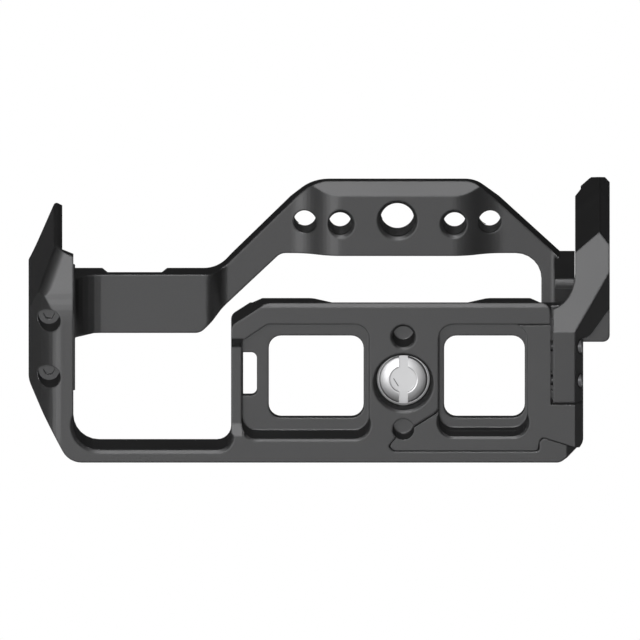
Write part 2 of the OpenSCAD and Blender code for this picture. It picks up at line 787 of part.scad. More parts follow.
module upright_body() {
    intersection() {
        slab([[-grip_reach + tip_set, -tip_reach, tip_t / 2], [-grip_reach, -wing_start, tip_t],
              [-grip_reach, side_end, side_r / 2], [-grip_reach + upright_cut, upright_rear, side_r / 4],
              [-upright_in, upright_rear], [-upright_in, -bar_front - fillet_r / 2, tip_t],
              [-wing_in, -bar_front - fillet_r, tip_t], [-wing_in, -tip_reach + tip_back]],
             base_t, bar_top);
        along_x([[-tip_reach, base_t], [-tip_reach, wing_h], [-wing_start, wing_h, bar_t],
                 [-bar_front, bar_top, tip_t], [upright_rear, bar_top], [upright_rear, base_t]],
                -grip_reach, -upright_in);
    }
}

// Grip-side upright with its wing
module upright() {
    difference() {
        upright_body();
        toe_blend();
    }
    // Fillet between the upright and the bar
    along_y([[-upright_in - tip_t, bar_under - fillet_l], [-upright_in - tip_t, bar_under + tip_t],
             [-upright_in + fillet_l, bar_under + tip_t], [-upright_in + fillet_l, bar_under],
             [-upright_in, bar_under, fillet_r], [-upright_in, bar_under - fillet_l]],
            -bar_front, bar_rear);
}

module leg() {
    // Leg down to the base, widened into a foot
    intersection() {
        along_y([[leg_out - leg_foot_w, base_t], [leg_out, base_t], [leg_out, link_under],
                 [leg_out - leg_w, link_under], [leg_out - leg_w, base_t + leg_foot_h, leg_w / 2],
                 [leg_out - leg_foot_w, base_t + leg_foot_h, tip_t]], -leg_front, leg_rear);
        slab([[leg_out - leg_foot_w, -leg_front], [leg_out, -leg_front], [leg_out, leg_rear, tab_r],
              [leg_out - leg_foot_w, leg_rear, tab_r]], base_t, link_under);
    }
    // Tab behind the lens mount
    along_x([[-link_back, frame_h - tab_l, tab_r], [-link_back, link_under],
             [-link_back + tab_t, link_under], [-link_back + tab_t, frame_h - tab_l, tab_r]],
            leg_out - leg_w, leg_out);
}

module upper_frame() {
    color("#3a3a3c")
    difference() {
        union() {
            top_bar();
            upright();
            leg();
        }
        // Threaded holes along the hump
        translate([lens_x, -row_reach - row_step, 0]) {
            rod(big_thread_d, hump_under - over, frame_h + over);
            cone(big_thread_d + 2 * mouth_c, big_thread_d, hump_under, hump_under + mouth_c);
            cone(big_thread_d, big_thread_d + 2 * web_c, frame_h - web_c, frame_h);
        }
        for (side = [-1, 1]) {
            translate([lens_x + side * near_hole, -row_reach, 0]) {
                rod(small_thread_d, hump_under - over, frame_h + over);
                cone(small_thread_d + 2 * mouth_c, small_thread_d, hump_under, hump_under + mouth_c);
                cone(small_thread_d, small_thread_d + 2 * web_c, frame_h - web_c, frame_h);
            }
            translate([lens_x + side * far_hole, -row_reach, 0])
                rod(small_thread_d, hump_under - over, frame_h + over);
        }
        // Blind threads for the fixing screws
        for (y = [-upright_y1, -upright_y2])
            translate([-upright_x, y, 0]) rod(m3_d, base_t - over, base_t + upright_grip);
        for (y = [-leg_front + leg_screw_in, leg_rear - leg_screw_in])
            translate([leg_x, y, 0]) rod(m3_d, base_t - over, base_t + leg_grip);
    }
}

module camera_screw() {
    color("#c9c9cc")
    difference() {
        rotate_extrude($fn = 2 * round_fn)
            polygon([
                [0, shoulder_z - head_t], for (i = [1 : corner_steps])
                    [dome_d / 2 * i / corner_steps,
                     shoulder_z - head_t + dome_h * pow(i / corner_steps, 2)],
                [dome_d / 2, shoulder_z - head_t + dome_h + web_c / 2],
                [head_d / 2 - web_c / 2, shoulder_z - head_t + dome_h + web_c / 2],
                [head_d / 2, shoulder_z - head_t + dome_h + web_c], [head_d / 2, shoulder_z],
                [thread_d / 2, shoulder_z], [thread_d / 2, clip_z - clip_play],
                [groove_d / 2, clip_z - clip_play], [groove_d / 2, clip_z + clip_t + clip_play],
                [thread_d / 2, clip_z + clip_t + clip_play],
                [thread_d / 2, screw_tip - tip_c], [thread_d / 2 - tip_c, screw_tip], [0, screw_tip]]);
        rod(eye_d, shoulder_z - head_t - over, shoulder_z - head_t + slot_h);
        translate([-slot_w / 2, -dome_d / 2 - over, shoulder_z - head_t - over])
            cube([slot_w, dome_d + 2 * over, slot_h + over]);
    }
}

module screw_clip() {
    color("#8c8c90")
    difference() {
        rod(clip_d, clip_z, clip_z + clip_t);
        rod(groove_d + 2 * clip_play, clip_z - over, clip_z + clip_t + over);
        translate([-clip_mouth / 2, 0, clip_z - over]) cube([clip_mouth, clip_d, clip_t + 2 * over]);
    }
}

// Socket-head screw, head down, seated at z_seat
module socket_screw(z_seat, z_tip) {
    difference() {
        union() {
            rod(m3_head_d, z_seat - m3_head_t, z_seat);
            rod(m3_d, z_seat - m3_head_t / 2, z_tip);
        }
        translate([0, 0, z_seat - m3_head_t - over])
            cylinder(d = m3_socket_d_share * m3_head_d, h = over + m3_socket_h_share * m3_head_t, $fn = 6);
    }
}

module upright_screws() {
    color("#2c2c2e")
    for (y = [-upright_y1, -upright_y2])
        translate([-upright_x, y, 0]) socket_screw(upright_seat, base_t + upright_grip - 2 * tip_gap);
}

module leg_screws() {
    color("#2c2c2e")
    for (y = [-leg_front + leg_screw_in, leg_rear - leg_screw_in])
        translate([leg_x, y, 0]) socket_screw(leg_seat, base_t + leg_grip - 2 * tip_gap);
}

module insert_screws() {
    color("#2c2c2e")
    for (at = insert_screws_at)
        translate([at[0], at[1], 0]) difference() {
            union() {
                rod(m25_d, insert_tip, base_t - web_c);
                cone(m25_d, insert_head_d, base_t - (insert_head_d - m25_d) / 2, base_t);
            }
            translate([0, 0, base_t - 2 * web_c])
                cylinder(d = m25_socket_d_share * m25_d, h = over + 2 * web_c, $fn = 6);
        }
}

module arm_screws() {
    color("#8c8c90")
    for (y = [-arm_y1, -arm_y2])
        translate([right_top - web_c, y, arm_screw_z]) rotate([0, -90, 0]) difference() {
            union() {
                rod(m25_head_d, 0, arm_head_t - web_c);
                rod(m25_d, 0, arm_screw_l - web_c);
            }
            translate([0, 0, -over])
                cylinder(d = arm_socket_d_share * m25_head_d, h = over + arm_socket_h_share * arm_head_t,
                         $fn = 6);
        }
}

module pad(x0, x1, y0, y1) {
    color("#1e1e1e") slab(box_outline(x0, x1, y0, y1, pad_r), base_t, base_t + pad_t);
}

module front_left_pad() {
    pad(-lpocket_out + pad_w, -lpocket_in - pad_gap,
        -window_front - pad_gap - pad_w, -window_front - pad_gap);
}

module rear_left_pad() {
    pad(-lpocket_out + pad_w, -lpocket_in - pad_gap,
        window_rear + pad_gap, window_rear + pad_gap + pad_rear_w);
}

module front_right_pad() {
    pad(rpocket_in + pad_gap, rpocket_out - ledge,
        -window_front - pad_gap - pad_w, -window_front - pad_gap);
}

module rear_right_pad() {
    pad(rpocket_in + pad_gap, rpocket_out - ledge,
        window_rear + pad_gap, window_rear + pad_gap + pad_rear_w);
}

base_frame();
insert_plate();
side_arm();
upper_frame();
camera_screw();
screw_clip();
upright_screws();
leg_screws();
insert_screws();
arm_screws();
front_left_pad();
rear_left_pad();
front_right_pad();
rear_right_pad();
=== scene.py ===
# %% [markdown]
# A cage for a small camera: a milled base that screws under the camera, a tall side wall, and an
# upper frame with a row of threaded holes. The imported CAD model is loaded first and stays where it
# is. Every finish and every added detail is fitted to it.

# %% Load the frame
import json
import math

import bmesh
import bpy
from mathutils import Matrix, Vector


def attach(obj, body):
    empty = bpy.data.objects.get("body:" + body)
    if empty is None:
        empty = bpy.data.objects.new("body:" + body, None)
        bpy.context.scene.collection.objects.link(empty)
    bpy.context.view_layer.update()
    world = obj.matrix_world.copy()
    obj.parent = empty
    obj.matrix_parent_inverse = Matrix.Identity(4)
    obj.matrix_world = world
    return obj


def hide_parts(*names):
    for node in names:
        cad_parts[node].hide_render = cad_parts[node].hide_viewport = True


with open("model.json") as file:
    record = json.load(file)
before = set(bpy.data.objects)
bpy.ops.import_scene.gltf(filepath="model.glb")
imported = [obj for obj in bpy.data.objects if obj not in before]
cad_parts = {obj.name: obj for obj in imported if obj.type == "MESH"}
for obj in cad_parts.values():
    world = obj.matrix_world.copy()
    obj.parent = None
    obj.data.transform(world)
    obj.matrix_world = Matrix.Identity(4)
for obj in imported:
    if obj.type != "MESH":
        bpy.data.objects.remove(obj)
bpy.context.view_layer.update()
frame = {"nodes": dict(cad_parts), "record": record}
nodes = frame["nodes"]

# %% [markdown]
# Blender counts in metres. A small object reads better in millimetres, so small lengths are
# written as millimetres times this factor.

# %% Units
MM = 0.001
print("one millimetre is", MM, "m")

# %% [markdown]
# The photograph is drawn with parallel lines of sight. A very long lens far away comes close to
# that, but an orthographic camera is exactly parallel and has one scale all over: a pixel is
# 0.234 mm on the object. It looks up at the underside, tilted 12 degrees towards the lens side.

# %% Camera
PIXEL = 0.234 * MM
PICTURE_PIXELS = 640
TILT = math.radians(12)
CAMERA_DISTANCE = 0.6
CAMERA_AIM = Vector((-0.0195, -0.01447, 0.00307))
TOWARDS_CAMERA = Vector((0, -math.sin(TILT), -math.cos(TILT)))


def link(thing):
    """Puts a new object into the scene."""
    bpy.context.collection.objects.link(thing)
    return thing


def add_camera():
    """Stands the camera off from the point that it aims at."""
    camera = link(bpy.data.objects.new("camera", bpy.data.cameras.new("camera")))
    camera.data.type = "ORTHO"
    camera.data.ortho_scale = PIXEL * PICTURE_PIXELS
    camera.rotation_euler = (math.pi - TILT, 0, 0)
    camera.location = CAMERA_AIM + TOWARDS_CAMERA * CAMERA_DISTANCE
    bpy.context.scene.camera = camera
    return camera


print("camera looks along", -TOWARDS_CAMERA, "from", add_camera().location)

# %% [markdown]
# Shader maths is easier to read as a sum than as a row of boxes and wires. Level wraps a socket,
# so that noise * 0.2 + 0.4 adds the two Math nodes for it. Board is a node tree under
# construction. Its method node adds any kind of node: first its settings, which are the keywords,
# then the values or links of its sockets. Finish is the board of a material.

# %% Node trees as expressions
class Level:
    """A number that varies from place to place, held by a socket."""

    def __init__(self, board, socket):
        self.board = board
        self.socket = socket

    def maths(self, operation, *values):
        """Adds a Math node that works on these values."""
        node = self.board.node("ShaderNodeMath", dict(enumerate(values)), operation=operation)
        return Level(self.board, node.outputs[0])

    def __add__(self, other):
        return self.maths("ADD", self, other)

    def __radd__(self, other):
        return self.maths("ADD", other, self)

    def __sub__(self, other):
        return self.maths("SUBTRACT", self, other)

    def __rsub__(self, other):
        return self.maths("SUBTRACT", other, self)

    def __mul__(self, other):
        return self.maths("MULTIPLY", self, other)

    def __rmul__(self, other):
        return self.maths("MULTIPLY", other, self)

    def __lt__(self, other):
        return self.maths("LESS_THAN", self, other)

    def __gt__(self, other):
        return self.maths("GREATER_THAN", self, other)

    def root(self):
        return self.maths("SQRT", self)

    def sine(self):
        return self.maths("SINE", self)

    def clamped(self):
        return self.maths("MINIMUM", self.maths("MAXIMUM", self, 0.0), 1.0)


class Board:
    """A node tree under construction, empty at first."""

    def __init__(self, tree):
        self.tree = tree
        tree.nodes.clear()

    def plug(self, socket, value):
        """Links a Level or another socket to a socket, or sets the socket's own value."""
        if isinstance(value, Level):
            value = value.socket
        if isinstance(value, bpy.types.NodeSocket):
            self.tree.links.new(value, socket)
        else:
            socket.default_value = value

    def node(self, kind, sockets=None, **settings):
        """Adds a node of any kind."""
        node = self.tree.nodes.new(kind)
        for name, value in settings.items():
            setattr(node, name, value)
        for name, value in (sockets or {}).items():
            self.plug(node.inputs[name], value)
        return node

    def level(self, kind, sockets=None, output="Fac", **settings):
        """Adds a node and returns one of its outputs as a Level."""
        return Level(self, self.node(kind, sockets, **settings).outputs[output])


class Finish(Board):
    """A material under construction."""

    def __init__(self, name):
        self.material = bpy.data.materials.new(name)
        self.material.use_nodes = True
        super().__init__(self.material.node_tree)

    def done(self, surface):
        """Sends a shader node to the output and returns the material."""
        self.node("ShaderNodeOutputMaterial", {"Surface": surface.outputs[0]})
        return self.material

    def principled(self, sockets):
        """Ends the material with a Principled BSDF and returns it."""
        return self.done(self.node("ShaderNodeBsdfPrincipled", sockets))


# %% [markdown]
# The finishes are built from a few patterns: a fine grain, a slow cloud that makes a handled
# surface a little uneven, and a mask of the edges. An image could give them, but noise has no
# seams and fits any shape. It reads Object coordinates, so it sits still on the part. The mask
# compares a face's own normal with the one that the Bevel node gives, which differ near an edge.

# %% Patterns that the finishes share
BEVEL_SAMPLES = 6
EDGE_GAIN = 4.0


def object_place(finish):
    """Where a point of the surface lies on the object."""
    return finish.node("ShaderNodeTexCoord").outputs["Object"]


def noise(finish, scale, detail=2, roughness=0.5):
    """Noise between 0 and 1 whose lumps are about 1/scale metres across."""
    return finish.level("ShaderNodeTexNoise", {
        "Vector": object_place(finish), "Scale": scale, "Detail": detail, "Roughness": roughness})


def soft_normal(finish, radius):
    """The normal of the surface as if its edges were rounded to this radius."""
    bevel = finish.node("ShaderNodeBevel", {"Radius": radius}, samples=BEVEL_SAMPLES)
    return bevel.outputs["Normal"]


def edge_mask(finish, soft):
    """1 on a sharp edge and 0 a little way from it, from the soft normal."""
    own = finish.node("ShaderNodeNewGeometry").outputs["Normal"]
    alike = finish.level("ShaderNodeVectorMath", {0: soft, 1: own}, output="Value",
                         operation="DOT_PRODUCT")
    return ((1 - alike) * EDGE_GAIN).clamped()


def shared(first, second, share=0.5):
    """Two patterns in one. The first has this share of it."""
    return first * share + second * (1 - share)


def swing(pattern, width):
    """The pattern laid evenly about 0, this wide from lowest to highest."""
    return (pattern - 0.5) * width


full_angle = math.degrees(math.acos(1 - 1 / EDGE_GAIN))
print("the edge mask is 1 where the two normals part by", round(full_angle, 1), "degrees")

# %% [markdown]
# A colour is three numbers or a socket. Two colours go through a Mix node, because a Math node
# would turn them grey. Relief finer than a pixel needs no mesh: a Bump node turns the normal by
# the slope of a pattern.

# %% Colours and bumps
MIX_ENDS = (6, 7)  # A Mix node has sockets of each type under equal names: these are its colours.
MIX_RESULT = 2


def times(colour, share):
    """The same colour, lighter or darker."""
    return tuple(share * channel for channel in colour)


def mixed(finish, factor, first, second):
    """A colour that goes from the first to the second as the factor goes from 0 to 1."""
    sockets = {"Factor": factor}
    for place, end in zip(MIX_ENDS, (first, second)):
        sockets[place] = (*end, 1) if isinstance(end, tuple) else end
    return finish.node("ShaderNodeMix", sockets, data_type="RGBA").outputs[MIX_RESULT]


def uneven(finish, pattern, shade, darkest, lightest):
    """A shade that wanders with a pattern between two shares of itself."""
    return mixed(finish, pattern, times(shade, darkest), times(shade, lightest))


def bumped(finish, height, depth, strength, under=None):
    """The normal of a surface that a pattern raises by up to this depth."""
    sockets = {"Height": height, "Distance": depth, "Strength": strength}
    if under is not None:
        sockets["Normal"] = under
    return finish.node("ShaderNodeBump", sockets).outputs["Normal"]


# %% [markdown]
# The cage is aluminium, bead-blasted and then anodised black. Blasting leaves a fine, even grain
# that scatters light, so the metal looks matt and its highlights are broad. Anodising is a hard
# layer full of dye. A plain metal would mirror the white studio and look grey, and a plain
# dielectric would do so at a grazing angle. So the finish has no specular level. A small share of
# metal with a black edge tint gives it a weak reflection instead.
#
# A milled part has no razor edges either: each is broken by a small radius, which catches the
# light. The CAD solids have the large chamfers and fillets. A Bevel modifier could make the small
# radii, but the CAD meshes stay as they are. The Bevel node only turns the normal near an edge as
# a rounded edge would, and costs no mesh. Edges rub paler first, and the mask paints them paler:
# partly that wear, partly a painted highlight along every edge.
#
# The black screws are oxidised steel. Their thin dark skin looks much like the dye, only smoother,
# so the same function makes it.

# %% Anodised aluminium
FRAME_SHADE = (0.079, 0.079, 0.080)
# The paler colour at the edges is partly wear and partly a painted edge highlight.
WORN_AND_LIT_EDGE_SHADE = (0.32, 0.32, 0.33)
METAL_SHARE = 0.06
GRAIN_SCALE = 3200
CLOUD_SCALE = 55
EDGE_WEAR_AND_HIGHLIGHT = 0.05
EDGE_WEAR_AND_HIGHLIGHT_SWING = 0.06


def anodised(name, share, edge_radius, roughness=0.5):
    """Blasted and dyed metal in this share of the frame's shade."""
    finish = Finish(name)
    grain = noise(finish, GRAIN_SCALE, detail=3, roughness=0.6)
    cloud = noise(finish, CLOUD_SCALE, detail=3)
    soft = soft_normal(finish, edge_radius)
    dye = uneven(finish, shared(grain, cloud), times(FRAME_SHADE, share),
                 darkest=0.86, lightest=1.14)
    # Paler edges: real wear, and partly a painted highlight along every edge.
    worn_and_lit_edges = edge_mask(finish, soft) * (swing(cloud, EDGE_WEAR_AND_HIGHLIGHT_SWING) + EDGE_WEAR_AND_HIGHLIGHT)
    return finish.principled({
        "Base Color": mixed(finish, worn_and_lit_edges, dye, WORN_AND_LIT_EDGE_SHADE),
        "Roughness": swing(cloud, width=0.08) + swing(grain, width=0.04) + roughness,
        "Metallic": METAL_SHARE,
        "Specular IOR Level": 0.0,
        "Specular Tint": (0, 0, 0, 1),
        "Normal": bumped(finish, grain, depth=0.006 * MM, strength=0.35, under=soft)})


finishes = {}
finishes["frame_black"] = anodised("frame_black", share=1.0, edge_radius=0.6 * MM)
finishes["plate_black"] = anodised("plate_black", share=1.02, edge_radius=0.3 * MM)
finishes["arm_black"] = anodised("arm_black", share=0.98, edge_radius=0.6 * MM)
finishes["black_steel"] = anodised("black_steel", share=0.9, edge_radius=0.1 * MM, roughness=0.42)
print("grain", round(1 / GRAIN_SCALE / MM, 2), "mm, cloud", round(1 / CLOUD_SCALE / MM), "mm")

# %% [markdown]
# The spring clip that keeps the camera screw is bare steel, and the arm screws are zinc plated
# steel that has gone dull. Drawing and plating leave a grain too fine to see singly, which a bump
# and a little unevenness of colour give. One function makes both, each with its own shade, share
# of metal and roughness.

# %% Plain steel
STEEL_GRAIN_SCALE = 5200
STEEL_CLOUD_SCALE = 160


def steel(name, shade, metallic, roughness):
    """Steel with a fine grain."""
    finish = Finish(name)
    grain = noise(finish, STEEL_GRAIN_SCALE, roughness=0.7)
    cloud = noise(finish, STEEL_CLOUD_SCALE)
    return finish.principled({
        "Base Color": uneven(finish, shared(grain, cloud, share=0.6), shade,
                             darkest=0.9, lightest=1.08),
        "Roughness": swing(cloud, width=0.1) + roughness,
        "Metallic": metallic,
        "Normal": bumped(finish, grain, depth=0.004 * MM, strength=0.2)})


finishes["spring_steel"] = steel("spring_steel", (0.3, 0.3, 0.31), metallic=1.0, roughness=0.32)
finishes["plain_steel"] = steel("plain_steel", (0.09, 0.09, 0.093), metallic=0.9, roughness=0.4)
print("steel grain", round(1 / STEEL_GRAIN_SCALE / MM, 2), "mm")

# %% [markdown]
# The camera screw is turned stainless steel. The lathe leaves fine rings round the axis. The Wave
# texture has rings too, but a sine of the distance from the axis takes its pitch in millimetres.
# The outer rim is dull, and a short dark line on the face is painted shade, where the edge of a hex
# socket would lie in shadow. A test of the distance from the axis finds the rim. The painted line
# is a thin straight band, so tests along it and across it find the band.

# %% Turned steel
RING_PITCH = 0.12 * MM
RIM_RADIUS = 5.8 * MM
RIM_DULLNESS = 0.6
SOCKET_EDGE_START = (-2.29 * MM, -0.15 * MM)
SOCKET_EDGE_WAY = (0.516, 0.856)  # A direction, of length 1
SOCKET_EDGE_LENGTH = 2.2 * MM
SOCKET_EDGE_HALF_WIDTH = 0.11 * MM
SOCKET_EDGE_SHADE = 0.85
DULL_RIM_AND_SHADE_COLOUR = (0.03, 0.03, 0.03)
TURNED_CLOUD_SCALE = 220


def socket_edge_shade_mask(x, y):
    """1 on the painted shade of the socket edge and 0 beside it."""
    from_x, from_y = x - SOCKET_EDGE_START[0], y - SOCKET_EDGE_START[1]
    along = from_x * SOCKET_EDGE_WAY[0] + from_y * SOCKET_EDGE_WAY[1]
    across = from_x * SOCKET_EDGE_WAY[1] - from_y * SOCKET_EDGE_WAY[0]
    return (along > 0.0) * (along < SOCKET_EDGE_LENGTH) * (across * across < SOCKET_EDGE_HALF_WIDTH ** 2)


def turned_steel(name, shade, roughness):
    """Bright steel with rings round the vertical axis, a dull rim and a painted shaded socket edge.
    """
    finish = Finish(name)
    place = finish.node("ShaderNodeSeparateXYZ", {"Vector": object_place(finish)}).outputs
    x, y = Level(finish, place["X"]), Level(finish, place["Y"])
    from_axis = (x * x + y * y).root()
    rings = (from_axis * (math.tau / RING_PITCH)).sine() * 0.5 + 0.5
    cloud = noise(finish, TURNED_CLOUD_SCALE)
    bright = uneven(finish, shared(rings, cloud), shade, darkest=0.94, lightest=1.04)
    # A dull rim, and a dark line painted where the edge of a hex socket lies in shade.
    rim_and_painted_edge_shade = socket_edge_shade_mask(x, y) * SOCKET_EDGE_SHADE + (from_axis > RIM_RADIUS) * RIM_DULLNESS
    return finish.principled({
        "Base Color": mixed(finish, rim_and_painted_edge_shade, bright, DULL_RIM_AND_SHADE_COLOUR),
        "Roughness": swing(cloud, width=0.06) + roughness,
        "Metallic": 1.0,
        "Normal": bumped(finish, rings, depth=0.004 * MM, strength=0.15)})


finishes["screw_steel"] = turned_steel("screw_steel", (0.42, 0.42, 0.425), roughness=0.43)
print("rings:", RING_PITCH / MM, "mm apart, dull beyond", RIM_RADIUS / MM, "mm")

# %% [markdown]
# The pads between the camera and the base are moulded rubber: nearly black, dull, with a slight
# grain from the mould. One noise gives the colour, the roughness and the bump, because on rubber
# all three come from the same small lumps.

# %% Rubber
RUBBER_DARKEST = (0.022, 0.022, 0.023)
RUBBER_LIGHTEST = (0.04, 0.04, 0.041)
RUBBER_GRAIN_SCALE = 2400


def rubber(name, roughness):
    """Dull rubber with the grain of its mould."""
    finish = Finish(name)
    grain = noise(finish, RUBBER_GRAIN_SCALE)
    return finish.principled({
        "Base Color": mixed(finish, grain, RUBBER_DARKEST, RUBBER_LIGHTEST),
        "Roughness": swing(grain, width=0.12) + roughness,
        "Specular IOR Level": 0.3,
        "Normal": bumped(finish, grain, depth=0.01 * MM, strength=0.4)})


finishes["pad_rubber"] = rubber("pad_rubber", roughness=0.78)
print("rubber grain", round(1 / RUBBER_GRAIN_SCALE / MM, 2), "mm")

# %% [markdown]
# Each piece of the real cage has one finish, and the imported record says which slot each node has.
# The finishes are named after those slots, so one loop can dress all the nodes.

# %% Put the finishes on the CAD nodes
subparts = frame["record"]["subparts"]


def wear_finish(thing, slot):
    """Gives a mesh object one of the finishes."""
    thing.data.materials.clear()
    thing.data.materials.append(finishes[slot])


for subpart in subparts:
    wear_finish(nodes[subpart["node"]], subpart["material_slot"])
print("dressed", len(subparts), "nodes in", ", ".join(sorted(finishes)))

# %% [markdown]
# A screw thread is one ridge that winds round an axis. The CAD model leaves it out and gives the
# screw's shank its full diameter. The Screw modifier could turn a profile round an axis, but
# Geometry Nodes have a spiral curve whose radius, height and turns are plain inputs, so one tree
# serves the screw and the holes. A square ring on its corner is swept along the spiral: half of it
# sinks into the metal, and the other half is the ridge.

# %% Tree that winds a ridge round an axis
STEPS_PER_TURN = 48
RIDGE_CORNERS = 4
THREAD_INPUTS = {"Radius": "Float", "Ridge": "Float", "Pitch": "Float", "Turns": "Float",
                 "Place": "Vector", "Finish": "Material"}


def thread_tree():
    """A tree whose result is a ridge, from its sizes, its place and its finish."""
    tree = bpy.data.node_groups.new("thread ridge", "GeometryNodeTree")
    for name, kind in THREAD_INPUTS.items():
        tree.interface.new_socket(name, in_out="INPUT", socket_type="NodeSocket" + kind)
    tree.interface.new_socket("Mesh", in_out="OUTPUT", socket_type="NodeSocketGeometry")
    board = Board(tree)
    given = board.node("NodeGroupInput").outputs
    spiral = board.node("GeometryNodeCurveSpiral", {
        "Resolution": STEPS_PER_TURN, "Rotations": given["Turns"], "Start Radius": given["Radius"],
        "End Radius": given["Radius"], "Height": Level(board, given["Pitch"]) * given["Turns"]})
    path = board.node("GeometryNodeSetCurveNormal", {"Curve": spiral.outputs["Curve"]},
                      mode="Z_UP")
    ring = board.node("GeometryNodeCurvePrimitiveCircle", {
        "Resolution": RIDGE_CORNERS, "Radius": given["Ridge"]})
    sweep = board.node("GeometryNodeCurveToMesh", {
        "Curve": path.outputs["Curve"], "Profile Curve": ring.outputs["Curve"],
        "Fill Caps": True})
    placed = board.node("GeometryNodeTransform", {
        "Geometry": sweep.outputs["Mesh"], "Translation": given["Place"]})
    real = board.node("GeometryNodeRealizeInstances", {"Geometry": placed.outputs["Geometry"]})
    dressed = board.node("GeometryNodeSetMaterial", {
        "Geometry": real.outputs["Geometry"], "Material": given["Finish"]})
    board.node("NodeGroupOutput", {"Mesh": dressed.outputs["Geometry"]})
    return tree


thread = thread_tree()
print("sockets of the thread tree:", [item.name for item in thread.interface.items_tree])

# %% [markdown]
# A tree does nothing until a modifier runs it. The modifier is given its inputs, the result is
# taken as a plain mesh, and the modifier goes, so that what is left is an ordinary piece. The
# first ridge is the camera screw's, which has a 1/4 inch thread of 20 turns to the inch.

# %% Run the tree
def grow(tree, name, **inputs):
    """Runs a tree with these inputs and returns its result as a plain mesh object."""
    seed = link(bpy.data.objects.new(name, bpy.data.meshes.new(name)))
    modifier = seed.modifiers.new("tree", "NODES")
    modifier.node_group = tree
    for socket in tree.interface.items_tree:
        if socket.in_out == "INPUT" and socket.name in inputs:
            modifier[socket.identifier] = inputs[socket.name]
    evaluated = seed.evaluated_get(bpy.context.evaluated_depsgraph_get())
    grown = bpy.data.meshes.new_from_object(evaluated)
    seed.modifiers.remove(modifier)
    seed.data = grown
    return seed


QUARTER_PITCH = 1.27 * MM
QUARTER_RADIUS = 3.175 * MM
ROOT_RADIUS = 2.62 * MM
THREAD_START = 13.2 * MM
THREAD_END = 17.3 * MM

screw_ridge = grow(thread, "screw_ridge", Radius=ROOT_RADIUS,
                   Ridge=QUARTER_RADIUS - ROOT_RADIUS, Pitch=QUARTER_PITCH,
                   Turns=(THREAD_END - THREAD_START) / QUARTER_PITCH,
                   Place=(0, 0, THREAD_START), Finish=finishes["screw_steel"])
print("ridge of the camera screw:", len(screw_ridge.data.polygons), "faces")

# %% [markdown]
# The screw's shank has to be thinner under the ridge, so a copy of the CAD screw stands in for
# it: the same head, groove and length, with the threaded end turned down to the root of the
# thread. The copy is merged first, because the CAD mesh is loose triangles. Then the ridge joins
# it, so that they are one piece and turn together.

# %% Camera screw with its thread
MERGE_DISTANCE = 0.001 * MM
GROOVE_TOP = 12.4 * MM  # Just under the upper edge of the clip's groove


def threaded_screw(ridge):
    """A copy of the CAD screw that has this ridge round its end."""
    shape = bmesh.new()
    shape.from_mesh(nodes["camera_screw"].data)
    bmesh.ops.remove_doubles(shape, verts=shape.verts, dist=MERGE_DISTANCE)
    for point in shape.verts:
        radius = math.hypot(point.co.x, point.co.y)
        if point.co.z > GROOVE_TOP and radius > ROOT_RADIUS:
            point.co.x *= ROOT_RADIUS / radius
            point.co.y *= ROOT_RADIUS / radius
    shape.from_mesh(ridge.data)
    bpy.data.objects.remove(ridge)
    mesh = bpy.data.meshes.new("threaded_camera_screw")
    shape.to_mesh(mesh)
    shape.free()
    return link(bpy.data.objects.new("threaded_camera_screw", mesh))


screw = threaded_screw(screw_ridge)
wear_finish(screw, "screw_steel")
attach(screw, "screw")
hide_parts("camera_screw")
print("camera screw:", len(screw.data.polygons), "faces")

# %% [markdown]
# The five holes of the top bar are tapped: 3/8 inch with 16 turns to the inch in the middle, and
# 1/4 inch on both sides. The crest of a tapped thread is the wall of the hole, so the ridges stand
# only a little way out of it. The radii and lengths come from the record's mounts, and each ridge
# is centred on its mount. Known fault: the mounts of the two end holes lie above the middle of
# their holes, so those two ridges end 1.3 mm above the top face of the bar.

# %% Tapped threads
BIG_PITCH = 1.5875 * MM
CREST = 0.1 * MM
PLAIN_MOUTHS = 0.9 * MM  # How much shorter a ridge is than its hole


def tapped_thread(mount):
    """A ridge inside one threaded hole."""
    radius = mount["dims"]["r_mm"] * MM
    pitch = BIG_PITCH if radius > QUARTER_RADIUS else QUARTER_PITCH
    length = mount["dims"]["length_mm"] * MM - PLAIN_MOUTHS
    x, y, z = mount["pos_m"]
    piece = grow(thread, mount["name"] + "_ridge", Radius=radius, Ridge=CREST, Pitch=pitch,
                 Turns=length / pitch, Place=(x, y, z - length / 2),
                 Finish=finishes["frame_black"])
    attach(piece, "frame")
    return piece


tapped = [tapped_thread(mount) for mount in frame["record"]["mounts"]
          if mount["kind"] == "threaded_hole"]
print("tapped holes:", len(tapped))

# %% [markdown]
# Strip lights give dark metal its highlights, but they would burn out bright steel, so a
# photographer keeps them off it with black flags. Light linking does that here. It needs the parts
# in collections: one of the black parts, and one of the camera screw.

# %% Groups for the lamps
BLACK_SLOTS = ("frame_black", "plate_black", "arm_black", "black_steel")


def group(name, parts):
    """A collection of the parts that some lamps are kept to."""
    things = bpy.data.collections.new(name)
    for part in parts:
        things.objects.link(part)
    return things


black_nodes = [nodes[subpart["node"]] for subpart in subparts
               if subpart["material_slot"] in BLACK_SLOTS]
black_parts = group("black parts", black_nodes + tapped)
bright_parts = group("bright parts", [screw])

# %% [markdown]
# The light is that of a plain studio. A soft lamp stands near the camera, below the object and a
# little to the grip side. Three small strong lamps show only in highlights, as strip lights do on
# dark metal: the one beside the camera gives the flat faces their sheen, the one further forward
# draws the rounded edges, and the one in front of the lens side draws the chamfers. Another lamp
# is kept to the camera screw. These four cast no shadow, because the photograph shows none. Two
# lamps behind and above light the other sides.
#
# An area lamp's power is hard to guess, so it is worked out from a level: a lamp of level 1 just
# turns a white card that faces it white.

# %% Lamps
LAMP_DISTANCE = 2.5


